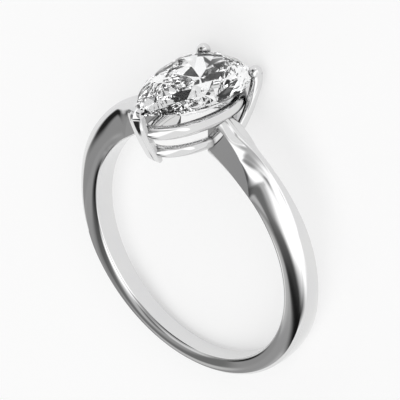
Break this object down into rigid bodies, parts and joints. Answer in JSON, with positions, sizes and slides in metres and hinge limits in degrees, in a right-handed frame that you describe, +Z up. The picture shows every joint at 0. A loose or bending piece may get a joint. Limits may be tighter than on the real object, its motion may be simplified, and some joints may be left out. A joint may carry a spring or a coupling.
{
  "type": "solitaire ring",
  "caption": "Finger ring with a plain tapered band and an open setting that holds one pear-cut stone in claws; lies on its side.",
  "frame": {"origin": "on the floor, below the centre of the ring's bounding box", "axes": "+Z up from the floor, with the ring lying on its side; +Y towards the stone's table; +X along the stone's width"},
  "size_m": [0.0206, 0.023, 0.0098],
  "materials": {
    "metal": "high polish, white precious metal",
    "stone": "clear, faceted and polished"
  },
  "bodies": {
    "root": {"band_and_setting": "metal", "stone": "stone"}
  },
  "joints": []
}
